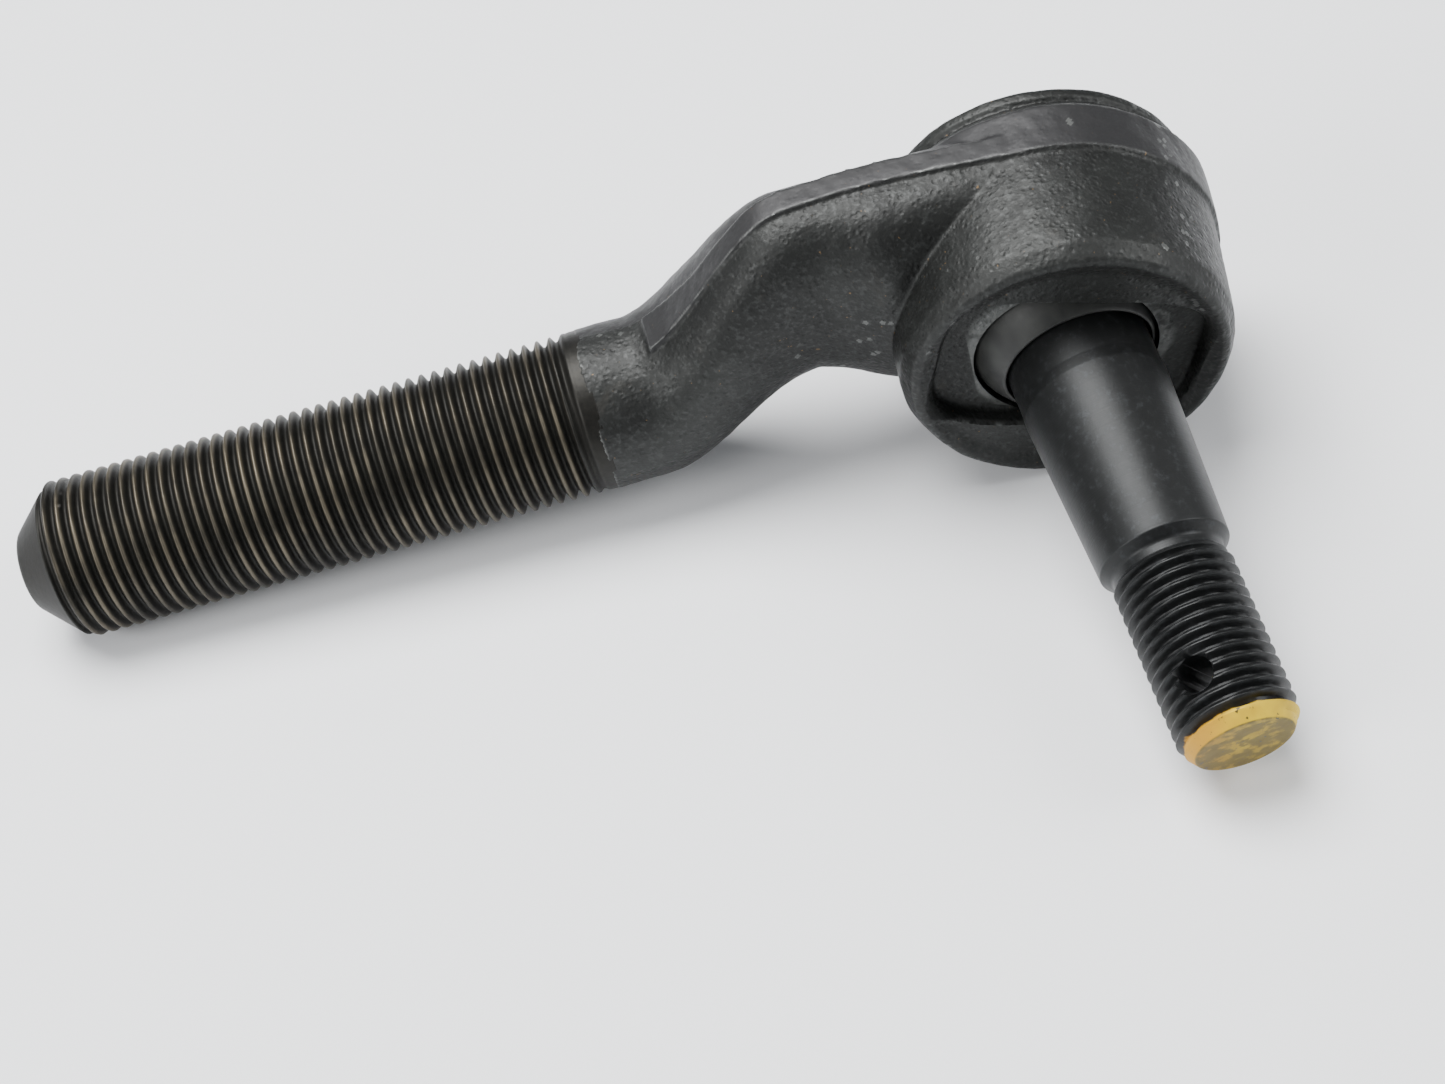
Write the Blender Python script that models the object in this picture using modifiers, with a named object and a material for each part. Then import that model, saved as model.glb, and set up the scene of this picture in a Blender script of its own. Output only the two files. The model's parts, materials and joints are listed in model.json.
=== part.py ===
"""Tie rod end: a forged housing with a threaded shank, a half-ball joint and a tapered stud.

Metres and degrees, +Z up. The part lies on its side on a bench: the housing's round flank and the
shank's free end touch down, and the stud stands out of the housing's mouth towards -Y. The shank
points along -X. The origin is the middle of the underside of the whole part.
"""
from math import asin, ceil, cos, degrees, pi, radians, sin, sqrt, tan

import bmesh
import bpy
from mathutils import Matrix, Vector

MM = 0.001
PART_NAME = "tie_rod_end"

# Running and fitting clearances
CLEARANCE = 0.3 * MM          # between pieces that touch on the real joint

# Shank: male thread, smooth collar, blunt nose
SHANK_DIAMETER = 17.2 * MM
SHANK_LENGTH = 110.7 * MM     # ball centre to the nose
COLLAR_END = 43.5 * MM        # ball centre to where the collar turns into the forged arm
NOSE_LENGTH = 4.6 * MM
NOSE_RADIUS = 3.2 * MM        # flat at the very end
NOSE_ROUND = 1.6 * MM         # how far the flat's edge is rounded outwards

# Arm: the bent forging between the collar and the socket
ARM_RISE = 10.6 * MM          # how far the bend lifts the arm's middle above the shank's axis
ARM_BEND_END = 24.5 * MM      # ball centre to where the rise is complete
ARM_HALF_HEIGHT = 10.8 * MM
ARM_HALF_DEPTH = 6.6 * MM
ARM_TUCK = 0.6 * MM           # the arm's top ends this much below the socket's top
ARM_FLARE = 3.4 * MM          # extra half height inside the socket
ARM_FILLET = 2.4 * MM         # extra depth in front where the arm meets the socket
ARM_FILLET_START = 23.0 * MM
ARM_FILLET_END = 15.0 * MM
ARM_SQUARENESS = 2.4          # 2 is an ellipse, more is boxier
LAND_START_GAP = 2.5 * MM     # the flash land starts this far past the collar
LAND_WIDTH = 2.8 * MM         # width of the land along the arm
LAND_START_WIDTH = 4.6 * MM   # its width where it starts
LAND_NARROWS = 8.0 * MM       # it narrows over this length

# Socket: the round head of the forging, measured along its axis from the ball centre
SOCKET_RISE = 4.8 * MM        # ball centre above the shank's axis
SOCKET_FORWARD = 7.7 * MM     # ball centre in front of the shank's axis
SOCKET_LEAN = 7.0             # degrees, the mouth leans towards the shank
RIM_RADIUS = 16.8 * MM        # flank at the mouth
RIM_PEAK_RADIUS = 15.7 * MM   # the rim's foremost edge
RIM_LENGTH = 2.0 * MM         # the flank rounds over into the rim within this
MOUTH_HEIGHT = 8.8 * MM       # ball centre to the rim's foremost edge
FACE_RADIUS = 13.6 * MM       # flat front face inside the rim
FACE_SINK = 0.7 * MM          # the flat face lies this much below the rim
REAR_DEPTH = 14.5 * MM        # ball centre to the end of the rolled lip
PARTING_RADIUS = 17.8 * MM    # trimmed flash land round the forging's parting plane
PARTING_HALF_WIDTH = 2.7 * MM
PARTING_STEP = 0.4 * MM       # the land stands this much proud of the drafted flank
LIP_RADIUS = 16.4 * MM
LIP_HEIGHT = 1.9 * MM
LIP_GRIP = 0.5 * MM           # the lip is rolled in over the cover's edge by this

# Pocket in the front face, round the stud
POCKET_LENGTH = 26.6 * MM
POCKET_WIDTH = 18.0 * MM
POCKET_TURN = 16.0            # degrees, the long side dips away from the shank
POCKET_SQUARENESS = 4.0
MOUTH_LAND = 0.5 * MM         # the hole's cylindrical part below the pocket's floor

# Ball joint
BALL_RADIUS = 10.6 * MM       # half-ball bearing
BALL_CUT = 7.1 * MM           # ball centre to the half ball's front face
HEAD_STEP = 0.5 * MM          # the stud's head has a smaller radius than the half ball by this
HEAD_DEPTH = 4.5 * MM
NECK_RADIUS = 7.35 * MM
LARGEST_SWING = 14.5          # degrees, either way out of the socket's axis
SEAT_TOP = 3.4 * MM           # ball centre down to the seat's upper edge
SEAT_FLOOR = 1.1 * MM
SEAT_HOLE_RADIUS = 1.5 * MM
BORE_STEP = 0.2 * MM          # the bore is wider than the half ball's seat by this
SPRING_WIRE = 1.2 * MM
SPRING_HEIGHT = 2.6 * MM
SPRING_WIDE_RADIUS = 9.2 * MM
SPRING_NARROW_RADIUS = 5.4 * MM
SPRING_TURNS = 2.2
COVER_SEAT = 1.8 * MM         # the cover reaches this far past the bore onto its ledge
COVER_THICKNESS = 1.6 * MM
COVER_DISH = 1.0 * MM         # how far the cover's middle is pressed outwards
COVER_DISH_RADIUS = 6.4 * MM
COVER_DISH_RAMP = 1.2 * MM

# Stud, measured from the ball centre along its own axis
STUD_LENGTH = 51.4 * MM
STUD_THREAD_RADIUS = 5.9 * MM
STUD_THREAD_START = 33.1 * MM
STUD_TIP_RADIUS = 4.75 * MM
STUD_TIP_CHAMFER = 1.6 * MM
TAPER_START = 12.0 * MM
TAPER_START_RADIUS = 7.45 * MM
TAPER_END = 30.9 * MM
TAPER_END_RADIUS = 6.5 * MM
RELIEF_RADIUS = 5.5 * MM
COTTER_RADIUS = 1.75 * MM
COTTER_FROM_TIP = 6.2 * MM
COTTER_TURN = 119.0           # degrees about the stud
REST_SWING = 11.5             # degrees, how far the stud leans in the pose it lies in
SWING_HEADING = -36.0         # degrees, the way it leans: away from the shank and down

# Grease fitting in the cover
FITTING_SPIGOT_RADIUS = 2.9 * MM
FITTING_INSIDE = 0.6 * MM     # how far the spigot stands inside the cover
FITTING_HEX_FLATS = 8.0 * MM
FITTING_HEX_HEIGHT = 2.8 * MM
FITTING_NECK_RADIUS = 2.5 * MM
FITTING_HEAD_RADIUS = 3.3 * MM
FITTING_HEIGHT = 8.6 * MM     # above the cover's outer face
FITTING_BORE_RADIUS = 1.9 * MM
FITTING_MOUTH_RADIUS = 0.8 * MM
FITTING_MOUTH_LENGTH = 0.6 * MM
CHECK_BALL_RADIUS = 1.5 * MM
CHECK_SPRING_RADIUS = 1.2 * MM
CHECK_SPRING_WIRE = 0.4 * MM
CHECK_SPRING_TURNS = 4.5

# Heights along the socket axis that follow from the pieces above
BALL_SEAT = BALL_RADIUS + CLEARANCE
HEAD_RADIUS = BALL_RADIUS - HEAD_STEP
BORE_RADIUS = BALL_SEAT + BORE_STEP
COVER_RADIUS = BORE_RADIUS + COVER_SEAT
LIP_INNER_RADIUS = COVER_RADIUS - LIP_GRIP
HOLE_HEIGHT = BALL_SEAT / 2
for _ in range(30):
    MOUTH_HOLE_RADIUS = ((NECK_RADIUS + CLEARANCE) / cos(radians(LARGEST_SWING))
                         + HOLE_HEIGHT * tan(radians(LARGEST_SWING)))
    HOLE_HEIGHT = sqrt(BALL_SEAT ** 2 - MOUTH_HOLE_RADIUS ** 2)
ARM_SETTLE = ARM_RISE + ARM_HALF_HEIGHT + ARM_FLARE + ARM_TUCK - SOCKET_RISE - PARTING_RADIUS
POCKET_FLOOR = HOLE_HEIGHT + MOUTH_LAND
HEAD_LOWEST = HEAD_RADIUS * sin(asin(HEAD_DEPTH / HEAD_RADIUS) + radians(LARGEST_SWING))
SEAT_INNER_BOTTOM = -(HEAD_LOWEST + CLEARANCE)
SEAT_BOTTOM = SEAT_INNER_BOTTOM - SEAT_FLOOR
SPRING_TOP = SEAT_BOTTOM - CLEARANCE
SPRING_BOTTOM = SPRING_TOP - SPRING_HEIGHT
COVER_INNER = SPRING_BOTTOM - CLEARANCE
COVER_SHOULDER = COVER_INNER + CLEARANCE
COVER_OUTER = COVER_INNER - COVER_THICKNESS
LIP_INNER = COVER_OUTER - CLEARANCE
CROWN_INNER = COVER_INNER - COVER_DISH
CROWN_OUTER = COVER_OUTER - COVER_DISH
LIP_BOTTOM = -REAR_DEPTH
FITTING_INNER = CROWN_INNER + FITTING_INSIDE
FITTING_FOOT = CROWN_OUTER - CLEARANCE
FITTING_TIP = FITTING_FOOT - FITTING_HEIGHT
CHECK_SEAT = FITTING_TIP + FITTING_MOUTH_LENGTH
CHECK_BALL_HEIGHT = (CHECK_BALL_RADIUS + CLEARANCE) * sqrt(2) + CHECK_SEAT - FITTING_MOUTH_RADIUS
PARTING_HEIGHT = -SOCKET_FORWARD

# Steps round full turns
FINE_STEPS = 72
PLAIN_STEPS = 48
SMALL_STEPS = 24


def arc(centre_r, centre_z, radius, start, end, count):
    """Points of an arc in a profile's plane, angles in degrees from +r towards +z."""
    turns = [radians(start + (end - start) * i / count) for i in range(count + 1)]
    return [(centre_r + radius * cos(a), centre_z + radius * sin(a)) for a in turns]


def sphere_arc(radius, top, bottom, count):
    """Points down a sphere about the ball centre, between two heights."""
    return arc(0, 0, radius, degrees(asin(top / radius)), degrees(asin(bottom / radius)), count)


def smooth(t):
    """Eases 0..1 with level ends."""
    t = min(max(t, 0.0), 1.0)
    return t * t * (3 - 2 * t)


def make_material(name, colour, roughness, metallic):
    material = bpy.data.materials.new(name)
    material.use_nodes = True
    shader = material.node_tree.nodes["Principled BSDF"]
    shader.inputs["Base Color"].default_value = (*colour, 1)
    shader.inputs["Roughness"].default_value = roughness
    shader.inputs["Metallic"].default_value = metallic
    return material


def make_collection(name):
    collection = bpy.data.collections.new(name)
    bpy.context.scene.collection.children.link(collection)
    return collection


def add_object(name, mesh, collection, parent, material=None):
    piece = bpy.data.objects.new(name, mesh)
    collection.objects.link(piece)
    piece.parent = parent
    if material:
        mesh.materials.append(material)
    return piece


def add_cutter(name, mesh, parent):
    """A shape that only takes part in Booleans."""
    cutter = add_object(name, mesh, CUTTERS, parent)
    cutter.hide_render = True
    cutter.display_type = "WIRE"
    return cutter


def profile_mesh(name, points, closed):
    mesh = bpy.data.meshes.new(name)
    edges = [(i, i + 1) for i in range(len(points) - 1)]
    if closed:
        edges.append((len(points) - 1, 0))
    mesh.from_pydata([(r, 0, z) for r, z in points], edges, [])
    return mesh


def turn(piece, steps):
    """Turns a profile about its own Z axis."""
    screw = piece.modifiers.new("turned", "SCREW")
    screw.steps = steps
    screw.render_steps = steps
    screw.use_merge_vertices = True
    screw.merge_threshold = 0.01 * MM
    screw.use_smooth_shade = True
    return piece


def turned_piece(name, points, closed, steps, parent, material):
    piece = add_object(name, profile_mesh(name, points, closed), PARTS, parent, material)
    return turn(piece, steps)


def turned_cutter(name, points, steps, parent):
    return turn(add_cutter(name, profile_mesh(name, points, False), parent), steps)


def boolean(piece, cutter, operation):
    modifier = piece.modifiers.new(f"{operation.lower()} {cutter.name}", "BOOLEAN")
    modifier.operation = operation
    modifier.object = cutter
    modifier.solver = "EXACT"


def ring(centre, half_a, half_b, squareness, count):
    """A rounded outline: offsets along two half axes, 2 for an ellipse and more for boxier."""
    points = []
    for i in range(count):
        c = cos(2 * pi * i / count)
        s = sin(2 * pi * i / count)
        a = half_a * abs(c) ** (2 / squareness) * (1 if c >= 0 else -1)
        b = half_b * abs(s) ** (2 / squareness) * (1 if s >= 0 else -1)
        points.append((centre[0] + a, centre[1] + b))
    return points


def loft(name, sections):
    """Skins a list of equal rings of 3D points and caps both ends."""
    form = bmesh.new()
    rings = [[form.verts.new(point) for point in section] for section in sections]
    for first, second in zip(rings, rings[1:]):
        for i in range(len(first)):
            j = (i + 1) % len(first)
            form.faces.new((first[i], first[j], second[j], second[i]))
    form.faces.new(rings[0])
    form.faces.new(rings[-1])
    bmesh.ops.recalc_face_normals(form, faces=form.faces)
    mesh = bpy.data.meshes.new(name)
    form.to_mesh(mesh)
    form.free()
    mesh.shade_smooth()
    return mesh


def coil_piece(name, points, wire, resolution, parent, material):
    """A wire along points, as a curve with a round bevel and closed ends."""
    curve = bpy.data.curves.new(name, "CURVE")
    curve.dimensions = "3D"
    curve.bevel_depth = wire / 2
    curve.bevel_resolution = resolution
    curve.use_fill_caps = True
    spline = curve.splines.new("POLY")
    spline.points.add(len(points) - 1)
    for target, point in zip(spline.points, points):
        target.co = (*point, 1)
    return add_object(name, curve, PARTS, parent, material)


def coil_points(top, bottom, top_radius, bottom_radius, turns, per_turn):
    count = ceil(turns * per_turn)
    points = []
    for i in range(count + 1):
        t = i / count
        radius = top_radius + (bottom_radius - top_radius) * t
        angle = 2 * pi * turns * t
        points.append((radius * cos(angle), radius * sin(angle), top + (bottom - top) * t))
    return points


def socket_directions():
    """The socket's own X, Y and Z in the forging: away from the shank, up, out of the mouth."""
    lean = radians(SOCKET_LEAN)
    away = Vector((cos(lean), -sin(lean), 0))
    mouth = Vector((-sin(lean), -cos(lean), 0))
    return away, Vector((0, 0, 1)), mouth


def lowest_of_circle(pose, centre, axis, radius):
    normal = pose.to_3x3() @ axis
    return (pose @ centre).z - radius * sqrt(1 - normal.z ** 2)


def lying_pose_matrix():
    """Pitch and roll that bring rim, parting land and the shank's end to one height."""
    mouth = socket_directions()[2]
    ball = Vector((0, -SOCKET_FORWARD, SOCKET_RISE))
    rim_height = MOUTH_HEIGHT - RIM_LENGTH
    land_height = PARTING_HEIGHT + PARTING_HALF_WIDTH
    reach = SHANK_LENGTH - NOSE_LENGTH
    pitch = roll = 0.0
    for _ in range(12):
        pose = Matrix.Rotation(roll, 4, "X") @ Matrix.Rotation(pitch, 4, "Y")
        rim = lowest_of_circle(pose, ball + mouth * rim_height, mouth, RIM_RADIUS)
        land = lowest_of_circle(pose, ball + mouth * land_height, mouth, PARTING_RADIUS)
        nose = lowest_of_circle(pose, Vector((-reach, 0, 0)), Vector((1, 0, 0)), SHANK_DIAMETER / 2)
        roll += (rim - land) / (rim_height - land_height)
        pitch -= (nose - (rim + land) / 2) / reach
    return Matrix.Rotation(roll, 4, "X") @ Matrix.Rotation(pitch, 4, "Y")


def lying_empty():
    """Lays the forging down on its rim, its parting land and the shank's end."""
    base = bpy.data.objects.new("lying_pose", None)
    bpy.context.scene.collection.objects.link(base)
    base.matrix_world = lying_pose_matrix()
    return base


def socket_empty(base):
    """Stands at the ball centre with its Z along the socket's axis."""
    turned = Matrix(socket_directions()).transposed().to_4x4()
    socket = bpy.data.objects.new("socket_axis", None)
    bpy.context.scene.collection.objects.link(socket)
    socket.parent = base
    socket.matrix_local = Matrix.Translation((0, -SOCKET_FORWARD, SOCKET_RISE)) @ turned
    return socket


def swing_empty(socket):
    """The stud's axis, leaning out of the socket's axis about the ball centre."""
    heading = radians(SWING_HEADING)
    axis = Vector((-sin(heading), cos(heading), 0))
    swing = bpy.data.objects.new("swing_axis", None)
    bpy.context.scene.collection.objects.link(swing)
    swing.parent = socket
    swing.matrix_local = Matrix.Rotation(radians(REST_SWING), 4, axis)
    return swing


def arm_section(u):
    """Middle (depth, height), half depth and half height of the arm, u from the ball centre."""
    bend = smooth((COLLAR_END - u) / (COLLAR_END - ARM_BEND_END))
    run = max(1 - (u / ARM_BEND_END) ** 2, 0)
    fillet = ARM_FILLET * smooth((ARM_FILLET_START - u) / (ARM_FILLET_START - ARM_FILLET_END))
    shank_radius = SHANK_DIAMETER / 2
    height = ARM_RISE * bend - ARM_SETTLE * run
    half_height = shank_radius + (ARM_HALF_HEIGHT - shank_radius) * bend + ARM_FLARE * run
    half_depth = shank_radius + (ARM_HALF_DEPTH - shank_radius) * bend + fillet / 2
    return (-fillet / 2, height), half_depth, half_height


def arm_mesh():
    """The bent arm: rings from inside the collar to the middle of the socket."""
    start = COLLAR_END + 1 * MM
    count = 30
    sections = []
    for i in range(count + 1):
        u = start * (1 - i / count)
        middle, half_depth, half_height = arm_section(u)
        square = 2 + (ARM_SQUARENESS - 2) * smooth((start - u) / (8 * MM))
        outline = ring(middle, half_depth, half_height, square, 40)
        sections.append([(-u, y, z) for y, z in outline])
    return loft("arm_blank", sections)


def land_mesh():
    """The trimmed flash land along the arm, which drifts back to meet the land round the socket."""
    start = COLLAR_END - LAND_START_GAP
    slope = sin(radians(SOCKET_LEAN))
    count = 24
    sections = []
    for i in range(count + 1):
        u = start - (start + 1 * MM) * i / count
        height, half_height = arm_section(u)[0][1], arm_section(u)[2] + PARTING_STEP
        away = smooth((u - BALL_RADIUS) / (COLLAR_END - BALL_RADIUS))
        back = slope * u * (1 - away)
        low, high = height - half_height, height + half_height
        wide = LAND_START_WIDTH - LAND_WIDTH
        width = LAND_WIDTH + wide * (1 - smooth((start - u) / LAND_NARROWS))
        front = back - PARTING_HALF_WIDTH
        rear = front + width
        sections.append([(-u, front, low), (-u, rear, low), (-u, rear, high), (-u, front, high)])
    return loft("arm_land", sections)


def shank_profile():
    radius = SHANK_DIAMETER / 2
    nose = SHANK_LENGTH - NOSE_LENGTH
    points = [(0, SHANK_LENGTH), (NOSE_RADIUS, SHANK_LENGTH)]
    points.append((NOSE_RADIUS + NOSE_ROUND * 0.6, SHANK_LENGTH - NOSE_ROUND * 0.2))
    points.append((NOSE_RADIUS + NOSE_ROUND, SHANK_LENGTH - NOSE_ROUND * 0.5))
    points += [(radius - 0.3 * MM, nose + 0.4 * MM), (radius, nose)]
    points += [(radius, COLLAR_END - 1 * MM), (0, COLLAR_END - 1 * MM)]
    return points


def socket_profile():
    """Outer form of the socket, front to rear: rim, drafted flank, parting land, rolled lip."""
    land_top = PARTING_HEIGHT + PARTING_HALF_WIDTH
    land_bottom = PARTING_HEIGHT - PARTING_HALF_WIDTH
    under = PARTING_RADIUS - PARTING_STEP
    rim_bottom = MOUTH_HEIGHT - RIM_LENGTH
    points = [(0, MOUTH_HEIGHT - FACE_SINK), (FACE_RADIUS, MOUTH_HEIGHT - FACE_SINK)]
    points += [(RIM_PEAK_RADIUS - 0.5 * MM, MOUTH_HEIGHT), (RIM_PEAK_RADIUS, MOUTH_HEIGHT - 0.1 * MM)]
    points += [((RIM_PEAK_RADIUS + RIM_RADIUS) / 2, MOUTH_HEIGHT - RIM_LENGTH * 0.35)]
    points += [(RIM_RADIUS, rim_bottom)]
    points += [(under, land_top + PARTING_STEP), (PARTING_RADIUS, land_top)]
    points += [(PARTING_RADIUS, land_bottom), (under, land_bottom - PARTING_STEP)]
    neck_height = LIP_BOTTOM + LIP_HEIGHT
    points += [(LIP_RADIUS + 0.2 * MM, neck_height + 0.7 * MM), (LIP_RADIUS - 0.4 * MM, neck_height)]
    points += [(LIP_RADIUS, neck_height - 0.5 * MM)]
    points += arc(LIP_RADIUS - 0.9 * MM, LIP_BOTTOM + 0.9 * MM, 0.9 * MM, 0, -90, 4)
    points += [(0, LIP_BOTTOM)]
    return points


def bore_profile():
    """The socket's hollow: mouth hole, ball seat, bore, the cover's ledge and the way through the lip."""
    seat = BALL_SEAT
    ledge_radius = COVER_RADIUS + CLEARANCE
    above = POCKET_FLOOR + MOUTH_LAND
    points = [(0, above), (MOUTH_HOLE_RADIUS, above)]
    points += sphere_arc(seat, HOLE_HEIGHT, 0, 7)
    points += [(seat, -0.3 * MM), (BORE_RADIUS, -0.3 * MM - (BORE_RADIUS - seat))]
    points += [(BORE_RADIUS, COVER_SHOULDER), (ledge_radius, COVER_SHOULDER)]
    points += [(ledge_radius, LIP_INNER), (LIP_INNER_RADIUS, LIP_INNER)]
    points += [(LIP_INNER_RADIUS, LIP_BOTTOM - 1 * MM), (0, LIP_BOTTOM - 1 * MM)]
    return points


def pocket_mesh():
    """A long rounded pocket in the front face, with its long side turned against the shank."""
    turned = Matrix.Rotation(radians(-POCKET_TURN), 3, "Z")
    outline = ring((0, 0), POCKET_LENGTH / 2, POCKET_WIDTH / 2, POCKET_SQUARENESS, 48)
    sections = []
    for height in (POCKET_FLOOR, MOUTH_HEIGHT + 1 * MM):
        flat = [turned @ Vector((x, y, 0)) for x, y in outline]
        sections.append([(p.x, p.y, height) for p in flat])
    return loft("pocket_cut", sections)


def build_housing(base, socket, steel):
    housing = turned_piece("housing", socket_profile(), False, FINE_STEPS, socket, steel)
    shank = add_cutter("shank_blank", profile_mesh("shank_blank", shank_profile(), False), base)
    shank.rotation_euler = (0, -pi / 2, 0)
    turn(shank, PLAIN_STEPS)
    arm = add_cutter("arm_blank", arm_mesh(), base)
    land = add_cutter("arm_land", land_mesh(), base)
    bore = turned_cutter("bore_cut", bore_profile(), FINE_STEPS, socket)
    pocket = add_cutter("pocket_cut", pocket_mesh(), socket)
    boolean(housing, arm, "UNION")
    boolean(housing, land, "UNION")
    boolean(housing, shank, "UNION")
    boolean(housing, pocket, "DIFFERENCE")
    boolean(housing, bore, "DIFFERENCE")
    return housing


def build_stud(swing, steel):
    """The stud with its part-ball head, neck, taper, threaded end and cotter hole."""
    relief_end = STUD_THREAD_START - 0.4 * MM
    relief_start = TAPER_END + 0.8 * MM
    points = [(0, STUD_LENGTH), (STUD_TIP_RADIUS, STUD_LENGTH)]
    points += [(STUD_THREAD_RADIUS, STUD_LENGTH - STUD_TIP_CHAMFER)]
    points += [(STUD_THREAD_RADIUS, STUD_THREAD_START), (RELIEF_RADIUS, relief_end)]
    points += [(RELIEF_RADIUS, relief_start), (TAPER_END_RADIUS, TAPER_END)]
    points += [(TAPER_START_RADIUS, TAPER_START), (NECK_RADIUS, TAPER_START - 1.2 * MM)]
    points += [(NECK_RADIUS, -CLEARANCE)]
    points += sphere_arc(HEAD_RADIUS, -CLEARANCE, -HEAD_DEPTH, 7)
    points.append((0, -HEAD_DEPTH))
    stud = turned_piece("ball_stud", points, False, PLAIN_STEPS, swing, steel)
    form = bmesh.new()
    bmesh.ops.create_cone(form, cap_ends=True, segments=SMALL_STEPS, radius1=COTTER_RADIUS,
                          radius2=COTTER_RADIUS, depth=4 * STUD_THREAD_RADIUS)
    hole = bpy.data.meshes.new("cotter_cut")
    form.to_mesh(hole)
    form.free()
    cutter = add_cutter("cotter_cut", hole, swing)
    across = Matrix.Rotation(radians(COTTER_TURN), 4, "Z") @ Matrix.Rotation(pi / 2, 4, "Y")
    cutter.matrix_local = Matrix.Translation((0, 0, STUD_LENGTH - COTTER_FROM_TIP)) @ across
    boolean(stud, cutter, "DIFFERENCE")
    return stud


def build_half_ball(swing, bronze):
    bore = NECK_RADIUS + CLEARANCE
    points = [(bore, BALL_CUT)]
    points += sphere_arc(BALL_RADIUS, BALL_CUT, 0, 8)
    points += [(bore, 0)]
    return turned_piece("half_ball_bearing", points, True, PLAIN_STEPS, swing, bronze)


def build_seat(socket, grey):
    """The cup under the stud's head, which the spring presses up."""
    cup = HEAD_RADIUS + CLEARANCE
    outer = BORE_RADIUS - CLEARANCE
    points = [(outer, -SEAT_TOP), (outer, SEAT_BOTTOM), (SEAT_HOLE_RADIUS, SEAT_BOTTOM)]
    points += [(SEAT_HOLE_RADIUS, SEAT_INNER_BOTTOM)]
    points += list(reversed(sphere_arc(cup, -SEAT_TOP, SEAT_INNER_BOTTOM, 6)))
    return turned_piece("pressure_seat", points, True, PLAIN_STEPS, socket, grey)


def build_spring(socket, spring_steel):
    half = SPRING_WIRE / 2
    points = coil_points(SPRING_TOP - half, SPRING_BOTTOM + half, SPRING_NARROW_RADIUS,
                         SPRING_WIDE_RADIUS, SPRING_TURNS, 20)
    return coil_piece("preload_spring", points, SPRING_WIRE, 2, socket, spring_steel)


def build_cover(socket, zinc):
    """A pressed disc, held by the rolled lip, with its middle dished outwards round the fitting."""
    hole = FITTING_SPIGOT_RADIUS + CLEARANCE
    ramp = COVER_DISH_RADIUS + COVER_DISH_RAMP
    points = [(hole, CROWN_INNER), (COVER_DISH_RADIUS, CROWN_INNER), (ramp, COVER_INNER)]
    points += [(COVER_RADIUS, COVER_INNER), (COVER_RADIUS, COVER_OUTER), (ramp, COVER_OUTER)]
    points += [(COVER_DISH_RADIUS, CROWN_OUTER), (hole, CROWN_OUTER)]
    return turned_piece("cover_plate", points, True, PLAIN_STEPS, socket, zinc)


def build_fitting(socket, zinc):
    """A grease nipple: spigot through the cover, hexagon, neck and ball-shaped head, bored through."""
    hex_end = FITTING_FOOT - FITTING_HEX_HEIGHT
    head = FITTING_HEAD_RADIUS
    points = [(0, FITTING_INNER), (FITTING_SPIGOT_RADIUS, FITTING_INNER)]
    points += [(FITTING_SPIGOT_RADIUS, hex_end - 0.4 * MM), (FITTING_NECK_RADIUS, hex_end - 0.8 * MM)]
    points += [(FITTING_NECK_RADIUS, FITTING_TIP + 3.6 * MM), (head, FITTING_TIP + 2.9 * MM)]
    points += [(head, FITTING_TIP + 1.9 * MM), (head * 0.55, FITTING_TIP), (0, FITTING_TIP)]
    fitting = turned_piece("grease_fitting", points, False, 36, socket, zinc)
    form = bmesh.new()
    corner = FITTING_HEX_FLATS / sqrt(3)
    bmesh.ops.create_cone(form, cap_ends=True, segments=6, radius1=corner, radius2=corner,
                          depth=FITTING_HEX_HEIGHT)
    mesh = bpy.data.meshes.new("hexagon")
    form.to_mesh(mesh)
    form.free()
    hexagon = add_cutter("hexagon", mesh, socket)
    hexagon.location = (0, 0, (FITTING_FOOT + hex_end) / 2)
    bore = FITTING_BORE_RADIUS
    mouth = FITTING_MOUTH_RADIUS
    channel = [(0, FITTING_INNER + 1 * MM), (mouth, FITTING_INNER + 1 * MM)]
    channel += [(mouth, CROWN_INNER), (bore, CROWN_INNER), (bore, CHECK_SEAT + bore - mouth)]
    channel += [(mouth, CHECK_SEAT), (mouth, FITTING_TIP - 1 * MM), (0, FITTING_TIP - 1 * MM)]
    passage = turned_cutter("passage_cut", channel, 36, socket)
    boolean(fitting, hexagon, "UNION")
    boolean(fitting, passage, "DIFFERENCE")
    return fitting


def build_check_ball(socket, steel):
    form = bmesh.new()
    bmesh.ops.create_uvsphere(form, u_segments=16, v_segments=10, radius=CHECK_BALL_RADIUS)
    mesh = bpy.data.meshes.new("check_ball")
    form.to_mesh(mesh)
    form.free()
    mesh.shade_smooth()
    ball = add_object("check_ball", mesh, PARTS, socket, steel)
    ball.location = (0, 0, CHECK_BALL_HEIGHT)
    return ball


def build_check_spring(socket, spring_steel):
    half = CHECK_SPRING_WIRE / 2
    low = CHECK_BALL_HEIGHT + CHECK_BALL_RADIUS + CLEARANCE + half
    high = CROWN_INNER - CLEARANCE - half
    points = coil_points(high, low, CHECK_SPRING_RADIUS, CHECK_SPRING_RADIUS, CHECK_SPRING_TURNS, 12)
    return coil_piece("check_spring", points, CHECK_SPRING_WIRE, 1, socket, spring_steel)


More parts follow.
